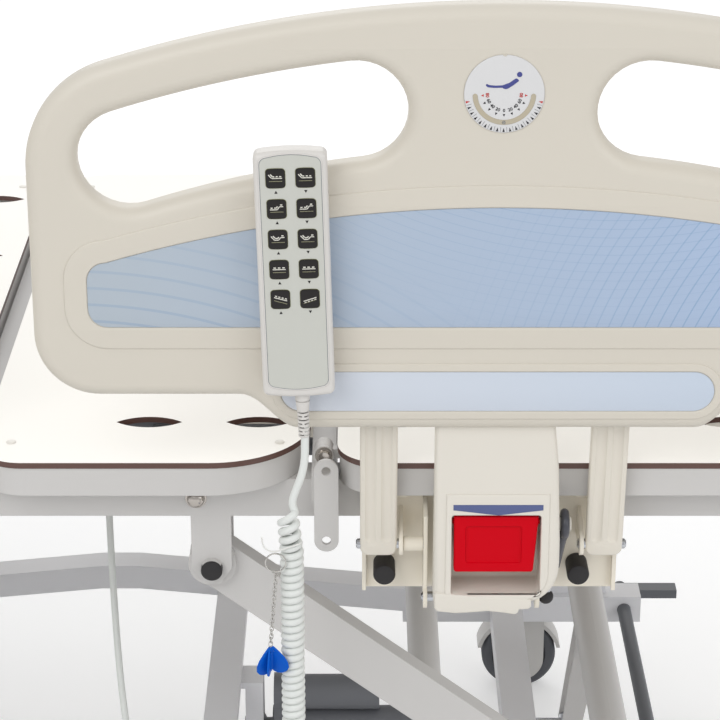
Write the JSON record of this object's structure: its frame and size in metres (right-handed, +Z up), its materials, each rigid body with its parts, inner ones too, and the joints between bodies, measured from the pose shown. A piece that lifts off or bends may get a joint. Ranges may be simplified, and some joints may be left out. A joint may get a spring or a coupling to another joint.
{
  "type": "hospital bed",
  "caption": "Electric adjustable hospital bed with four drop-down side rails, hinged mattress platform, lift arms and casters",
  "frame": {"origin": "on the floor below the middle of the bed", "axes": "+X towards the head end, +Y towards the patient's right side, +Z up"},
  "size_m": [2.124, 1.0658, 1.164],
  "materials": {
    "board_laminate": "high-pressure laminate board with a dark core edge",
    "frame_paint": "light grey powder coat",
    "base_paint": "grey powder coat",
    "rail_plastic": "cream moulded polypropylene",
    "rail_steel": "cream powder coat",
    "handle_red": "red moulded plastic",
    "spring_black": "black painted tube",
    "rod_steel": "polished rod",
    "motor_grey": "grey moulded housing",
    "caster_cover": "light grey moulded cover",
    "caster_tyre": "grey rubber tread",
    "brake_steel": "dark grey paint",
    "end_board_plastic": "cream moulded polypropylene",
    "bumper_rubber": "grey rubber",
    "handset_shell": "off-white moulded plastic",
    "keypad_film": "grey-green printed film",
    "cord_jacket": "cream cord jacket",
    "key_blue": "blue moulded plastic with a nickel ring and chain"
  },
  "bodies": {
    "base": {"base_frame": "base_paint", "head_lift_motor": "motor_grey", "foot_lift_motor": "motor_grey"},
    "main": {"main_frame": "frame_paint", "seat_board": "board_laminate", "control_box": "motor_grey", "back_motor": "motor_grey", "knee_motor": "motor_grey", "corner_bumpers": "bumper_rubber", "foot_rail_brackets": "rail_steel"},
    "head_lift": {"head_lift_arms": "frame_paint"},
    "foot_lift": {"foot_lift_arms": "frame_paint"},
    "head_lift_drive": {"head_lift_rod": "rod_steel"},
    "foot_lift_drive": {"foot_lift_rod": "rod_steel"},
    "back_drive": {"back_rod": "rod_steel"},
    "knee_drive": {"knee_rod": "rod_steel"},
    "back_section": {"back_frame": "frame_paint", "back_board": "board_laminate", "head_rail_brackets": "rail_steel"},
    "thigh_section": {"thigh_frame": "frame_paint", "thigh_board": "board_laminate"},
    "leg_section": {"leg_frame": "frame_paint", "leg_board": "board_laminate"},
    "head_end": {"head_board": "end_board_plastic"},
    "foot_end": {"foot_board": "end_board_plastic"},
    "brake_head": {"brake_bar_head": "brake_steel"},
    "brake_foot": {"brake_bar_foot": "brake_steel"},
    "swivel_1": {"caster_fork_1": "caster_cover"},
    "wheel_1": {"caster_wheel_1": "caster_tyre"},
    "swivel_2": {"caster_fork_2": "caster_cover"},
    "wheel_2": {"caster_wheel_2": "caster_tyre"},
    "swivel_3": {"caster_fork_3": "caster_cover"},
    "wheel_3": {"caster_wheel_3": "caster_tyre"},
    "swivel_4": {"caster_fork_4": "caster_cover"},
    "wheel_4": {"caster_wheel_4": "caster_tyre"},
    "arms_head_left": {"rail_arms_head_left": "rail_plastic"},
    "rail_head_left": {"rail_panel_head_left": "rail_plastic", "handset_body": "handset_shell", "handset_keypad": "keypad_film", "cord_lead": "cord_jacket", "cord_coil": "cord_jacket", "lockout_keys": "key_blue"},
    "link_head_left": {"rail_link_head_left": "rail_plastic", "rail_damper_head_left": "spring_black"},
    "handle_head_left": {"release_handle_head_left": "handle_red"},
    "arms_head_right": {"rail_arms_head_right": "rail_plastic"},
    "rail_head_right": {"rail_panel_head_right": "rail_plastic"},
    "link_head_right": {"rail_link_head_right": "rail_plastic", "rail_damper_head_right": "spring_black"},
    "handle_head_right": {"release_handle_head_right": "handle_red"},
    "arms_foot_left": {"rail_arms_foot_left": "rail_plastic"},
    "rail_foot_left": {"rail_panel_foot_left": "rail_plastic"},
    "link_foot_left": {"rail_link_foot_left": "rail_plastic", "rail_damper_foot_left": "spring_black"},
    "handle_foot_left": {"release_handle_foot_left": "handle_red"},
    "arms_foot_right": {"rail_arms_foot_right": "rail_plastic"},
    "rail_foot_right": {"rail_panel_foot_right": "rail_plastic"},
    "link_foot_right": {"rail_link_foot_right": "rail_plastic", "rail_damper_foot_right": "spring_black"},
    "handle_foot_right": {"release_handle_foot_right": "handle_red"}
  },
  "joints": [
    {"name": "lift", "type": "hinge", "parent": "base", "child": "head_lift", "pos_m": [0.601, 0, 0.24], "axis": [0, 1, 0], "range_deg": [-26.8, 10]},
    {"name": "lift_level", "type": "hinge", "parent": "head_lift", "child": "main", "pos_m": [0.169, 0, 0.567], "axis": [0, 1, 0], "range_deg": [-10, 26.8]},
    {"name": "foot_lift_swing", "type": "hinge", "parent": "base", "child": "foot_lift", "pos_m": [-0.299, 0, 0.24], "axis": [0, 1, 0], "range_deg": [-26.8, 10]},
    {"name": "head_lift_rod_slide", "type": "slide", "parent": "base", "child": "head_lift_drive", "axis": [1, 0, 0], "range_m": [-0.02943, 0.07326]},
    {"name": "foot_lift_rod_slide", "type": "slide", "parent": "base", "child": "foot_lift_drive", "axis": [1, 0, 0], "range_m": [-0.02943, 0.07326]},
    {"name": "back_raise", "type": "hinge", "parent": "main", "child": "back_section", "pos_m": [0.2815, 0, 0.69], "axis": [0, -1, 0], "range_deg": [0, 75]},
    {"name": "back_rod_slide", "type": "slide", "parent": "main", "child": "back_drive", "axis": [1, 0, 0], "range_m": [0, 0.15928]},
    {"name": "thigh_raise", "type": "hinge", "parent": "main", "child": "thigh_section", "pos_m": [-0.0695, 0, 0.69], "axis": [0, 1, 0], "range_deg": [0, 35]},
    {"name": "knee_rod_slide", "type": "slide", "parent": "main", "child": "knee_drive", "axis": [-1, 0, 0], "range_m": [0, 0.07918]},
    {"name": "knee_fold", "type": "hinge", "parent": "thigh_section", "child": "leg_section", "pos_m": [-0.4265, 0, 0.69], "axis": [0, -1, 0], "range_deg": [0, 58]},
    {"name": "head_board_lift", "type": "slide", "parent": "main", "child": "head_end", "axis": [0, 0, 1], "range_m": [0, 0.105]},
    {"name": "foot_board_lift", "type": "slide", "parent": "main", "child": "foot_end", "axis": [0, 0, 1], "range_m": [0, 0.105]},
    {"name": "brake_head_turn", "type": "hinge", "parent": "base", "child": "brake_head", "pos_m": [0.668, 0, 0.1375], "axis": [0, 1, 0], "range_deg": [-15, 15]},
    {"name": "brake_foot_turn", "type": "hinge", "parent": "base", "child": "brake_foot", "pos_m": [-0.668, 0, 0.1375], "axis": [0, 1, 0], "range_deg": [-15, 15]},
    {"name": "swivel_1_turn", "type": "hinge", "parent": "base", "child": "swivel_1", "pos_m": [0.51, -0.36, 0.13], "axis": [0, 0, 1], "continuous": true},
    {"name": "wheel_1_spin", "type": "hinge", "parent": "swivel_1", "child": "wheel_1", "pos_m": [0.532, -0.36, 0.05], "axis": [0, 1, 0], "continuous": true},
    {"name": "swivel_2_turn", "type": "hinge", "parent": "base", "child": "swivel_2", "pos_m": [0.51, 0.36, 0.13], "axis": [0, 0, 1], "continuous": true},
    {"name": "wheel_2_spin", "type": "hinge", "parent": "swivel_2", "child": "wheel_2", "pos_m": [0.532, 0.36, 0.05], "axis": [0, 1, 0], "continuous": true},
    {"name": "swivel_3_turn", "type": "hinge", "parent": "base", "child": "swivel_3", "pos_m": [-0.51, -0.36, 0.13], "axis": [0, 0, 1], "continuous": true},
    {"name": "wheel_3_spin", "type": "hinge", "parent": "swivel_3", "child": "wheel_3", "pos_m": [-0.488, -0.36, 0.05], "axis": [0, 1, 0], "continuous": true},
    {"name": "swivel_4_turn", "type": "hinge", "parent": "base", "child": "swivel_4", "pos_m": [-0.51, 0.36, 0.13], "axis": [0, 0, 1], "continuous": true},
    {"name": "wheel_4_spin", "type": "hinge", "parent": "swivel_4", "child": "wheel_4", "pos_m": [-0.488, 0.36, 0.05], "axis": [0, 1, 0], "continuous": true},
    {"name": "rail_drop_head_left", "type": "hinge", "parent": "back_section", "child": "arms_head_left", "pos_m": [0.445, -0.446, 0.614], "axis": [1, 0, 0], "range_deg": [0, 164.49], "deforming": ["cord_lead", "cord_coil"]},
    {"name": "rail_level_head_left", "type": "hinge", "parent": "arms_head_left", "child": "rail_head_left", "pos_m": [0.445, -0.478, 0.8489], "axis": [1, 0, 0], "range_deg": [-164.49, 0]},
    {"name": "link_swing_head_left", "type": "hinge", "parent": "back_section", "child": "link_head_left", "pos_m": [0.445, -0.45, 0.558], "axis": [1, 0, 0], "range_deg": [0, 164.49]},
    {"name": "release_head_left", "type": "hinge", "parent": "link_head_left", "child": "handle_head_left", "pos_m": [0.445, -0.483, 0.657], "axis": [-1, 0, 0], "range_deg": [0, 22], "stiffness_Nm_per_rad": 1.2},
    {"name": "rail_drop_head_right", "type": "hinge", "parent": "back_section", "child": "arms_head_right", "pos_m": [0.445, 0.446, 0.614], "axis": [-1, 0, 0], "range_deg": [-164.49, 0]},
    {"name": "rail_level_head_right", "type": "hinge", "parent": "arms_head_right", "child": "rail_head_right", "pos_m": [0.445, 0.478, 0.3791], "axis": [-1, 0, 0], "range_deg": [0, 164.49]},
    {"name": "link_swing_head_right", "type": "hinge", "parent": "back_section", "child": "link_head_right", "pos_m": [0.445, 0.45, 0.558], "axis": [-1, 0, 0], "range_deg": [-164.49, 0]},
    {"name": "release_head_right", "type": "hinge", "parent": "link_head_right", "child": "handle_head_right", "pos_m": [0.445, 0.44468, 0.45378], "axis": [1, 0, 0], "range_deg": [0, 22], "stiffness_Nm_per_rad": 1.2},
    {"name": "rail_drop_foot_left", "type": "hinge", "parent": "main", "child": "arms_foot_left", "pos_m": [-0.555, -0.446, 0.614], "axis": [1, 0, 0], "range_deg": [0, 164.49]},
    {"name": "rail_level_foot_left", "type": "hinge", "parent": "arms_foot_left", "child": "rail_foot_left", "pos_m": [-0.555, -0.478, 0.8489], "axis": [1, 0, 0], "range_deg": [-164.49, 0]},
    {"name": "link_swing_foot_left", "type": "hinge", "parent": "main", "child": "link_foot_left", "pos_m": [-0.555, -0.45, 0.558], "axis": [1, 0, 0], "range_deg": [0, 164.49]},
    {"name": "release_foot_left", "type": "hinge", "parent": "link_foot_left", "child": "handle_foot_left", "pos_m": [-0.555, -0.483, 0.657], "axis": [-1, 0, 0], "range_deg": [0, 22], "stiffness_Nm_per_rad": 1.2},
    {"name": "rail_drop_foot_right", "type": "hinge", "parent": "main", "child": "arms_foot_right", "pos_m": [-0.555, 0.446, 0.614], "axis": [-1, 0, 0], "range_deg": [-164.49, 0]},
    {"name": "rail_level_foot_right", "type": "hinge", "parent": "arms_foot_right", "child": "rail_foot_right", "pos_m": [-0.555, 0.478, 0.3791], "axis": [-1, 0, 0], "range_deg": [0, 164.49]},
    {"name": "link_swing_foot_right", "type": "hinge", "parent": "main", "child": "link_foot_right", "pos_m": [-0.555, 0.45, 0.558], "axis": [-1, 0, 0], "range_deg": [-164.49, 0]},
    {"name": "release_foot_right", "type": "hinge", "parent": "link_foot_right", "child": "handle_foot_right", "pos_m": [-0.555, 0.44468, 0.45378], "axis": [1, 0, 0], "range_deg": [0, 22], "stiffness_Nm_per_rad": 1.2}
  ],
  "couplings": [
    {"joint": "lift_level", "follows": "lift", "ratio": -1},
    {"joint": "foot_lift_swing", "follows": "lift", "ratio": 1},
    {"joint": "head_lift_rod_slide", "follows": "lift", "m_per_rad": -0.14744},
    {"joint": "foot_lift_rod_slide", "follows": "lift", "m_per_rad": -0.14744},
    {"joint": "back_rod_slide", "follows": "back_raise", "m_per_rad": 0.12091},
    {"joint": "knee_rod_slide", "follows": "thigh_raise", "m_per_rad": 0.12799},
    {"joint": "knee_fold", "follows": "thigh_raise", "ratio": 1.6517},
    {"joint": "rail_level_head_left", "follows": "rail_drop_head_left", "ratio": -1},
    {"joint": "link_swing_head_left", "follows": "rail_drop_head_left", "ratio": 1},
    {"joint": "rail_level_head_right", "follows": "rail_drop_head_right", "ratio": -1},
    {"joint": "link_swing_head_right", "follows": "rail_drop_head_right", "ratio": 1},
    {"joint": "rail_level_foot_left", "follows": "rail_drop_foot_left", "ratio": -1},
    {"joint": "link_swing_foot_left", "follows": "rail_drop_foot_left", "ratio": 1},
    {"joint": "rail_level_foot_right", "follows": "rail_drop_foot_right", "ratio": -1},
    {"joint": "link_swing_foot_right", "follows": "rail_drop_foot_right", "ratio": 1}
  ]
}
